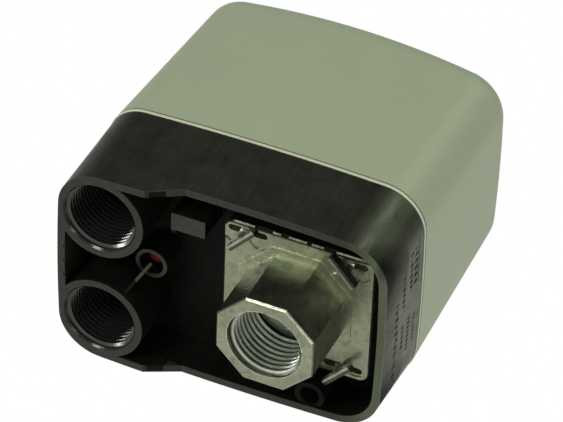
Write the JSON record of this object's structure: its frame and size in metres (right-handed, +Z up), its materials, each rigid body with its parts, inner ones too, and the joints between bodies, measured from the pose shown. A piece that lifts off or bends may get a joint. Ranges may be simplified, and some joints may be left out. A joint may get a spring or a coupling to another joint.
{
  "type": "pressure switch",
  "caption": "Pressure switch with a black moulded base, a sage-green lift-off cover, an octagonal female pressure port and two threaded cable entries.",
  "frame": {"origin": "on the pressure port's axis, at the octagonal boss's outer face", "axes": "+Z up into the body and towards the cover, as the switch stands in use; -X towards the cable entries; Y across the body"},
  "size_m": [0.0909, 0.0646, 0.1019],
  "materials": {
    "black_plastic": "glass-filled moulding, satin, slightly mottled",
    "cover_plastic": "sage-green satin moulding",
    "rubber": "black nitrile",
    "zinc_steel": "zinc-plated steel",
    "cast_zinc": "zinc die-casting, grey with a satin skin",
    "white_plastic": "natural moulding",
    "bracket_steel": "zinc-plated sheet steel",
    "steel": "turned steel",
    "spring_steel": "drawn spring wire",
    "brass": "pressed brass",
    "red_plastic": "red pointer",
    "scale_aluminium": "printed scale plate",
    "magnet_ferrite": "sintered ferrite",
    "block_plastic": "black thermoset moulding",
    "earth_green": "green-tinted plated steel",
    "red_lacquer": "red sealing lacquer"
  },
  "bodies": {
    "chassis": {"base_housing": "black_plastic", "cover_gasket": "rubber", "pressure_flange": "cast_zinc", "diaphragm": "rubber", "support_bracket": "bracket_steel", "cover_screw_bush": "zinc_steel", "rocker_pin": "steel", "pin_clips": "spring_steel", "main_spring": "spring_steel", "differential_spring": "spring_steel", "scale_plate": "scale_aluminium", "scale_rivets": "steel", "snap_magnet": "magnet_ferrite", "contact_housing": "block_plastic", "line_contacts": "brass", "load_contacts": "brass", "wire_clamps": "zinc_steel", "line_terminal_screws": "zinc_steel", "load_terminal_screws": "zinc_steel", "earth_plate": "zinc_steel", "earth_clamps": "zinc_steel", "earth_screws": "earth_green", "block_screw": "zinc_steel", "seal_lacquer": "red_lacquer"},
    "cover": {"cover": "cover_plastic", "cover_screw_seal": "rubber"},
    "cover_screw": {"cover_screw": "zinc_steel"},
    "pressure_plate": {"pressure_plate": "white_plastic"},
    "rocker": {"rocker_lever": "bracket_steel", "main_spring_seat": "brass", "differential_seat": "brass"},
    "contact_carrier": {"contact_carrier": "white_plastic", "contact_bridges": "brass", "contact_springs": "spring_steel"},
    "main_nut": {"main_spring_nut": "zinc_steel", "pressure_pointer": "red_plastic"},
    "main_screw": {"main_adjusting_screw": "steel"},
    "differential_nut": {"differential_nut": "zinc_steel"},
    "differential_screw": {"differential_screw": "steel"}
  },
  "joints": [
    {"name": "cover_lift", "type": "slide", "parent": "chassis", "child": "cover", "axis": [0, 0, 1], "range_m": [0, 0.09]},
    {"name": "cover_screw_turn", "type": "hinge", "parent": "cover", "child": "cover_screw", "pos_m": [-0.031, 0, 0.097], "axis": [0, 0, 1], "continuous": true},
    {"name": "rocker_tilt", "type": "hinge", "parent": "chassis", "child": "rocker", "pos_m": [0.016, 0, 0.034], "axis": [0, 1, 0], "range_deg": [0, 3.58], "stiffness_Nm_per_rad": 4, "springref_deg": -2.86, "deforming": ["main_spring", "differential_spring"]},
    {"name": "pressure_plate_lift", "type": "slide", "parent": "chassis", "child": "pressure_plate", "axis": [0, 0, 1], "range_m": [0, 0.00101]},
    {"name": "contact_lift", "type": "slide", "parent": "chassis", "child": "contact_carrier", "axis": [0, 0, 1], "range_m": [0, 0.00276]},
    {"name": "main_screw_turn", "type": "hinge", "parent": "chassis", "child": "main_screw", "pos_m": [0, 0, 0.084], "axis": [0, 0, 1], "range_deg": [-1441, 1441]},
    {"name": "main_nut_travel", "type": "slide", "parent": "chassis", "child": "main_nut", "axis": [0, 0, 1], "range_m": [-0.005, 0.005], "deforming": ["main_spring"]},
    {"name": "differential_screw_turn", "type": "hinge", "parent": "chassis", "child": "differential_screw", "pos_m": [-0.016, 0, 0.084], "axis": [0, 0, 1], "range_deg": [-1441, 1441]},
    {"name": "differential_nut_travel", "type": "slide", "parent": "chassis", "child": "differential_nut", "axis": [0, 0, 1], "range_m": [-0.0032, 0.0032], "deforming": ["differential_spring"]}
  ],
  "couplings": [
    {"joint": "pressure_plate_lift", "follows": "rocker_tilt", "m_per_rad": 0.016},
    {"joint": "contact_lift", "follows": "rocker_tilt", "m_per_rad": 0.044},
    {"joint": "main_screw_turn", "follows": "main_nut_travel", "rad_per_m": -5026.5},
    {"joint": "differential_screw_turn", "follows": "differential_nut_travel", "rad_per_m": -7854}
  ]
}
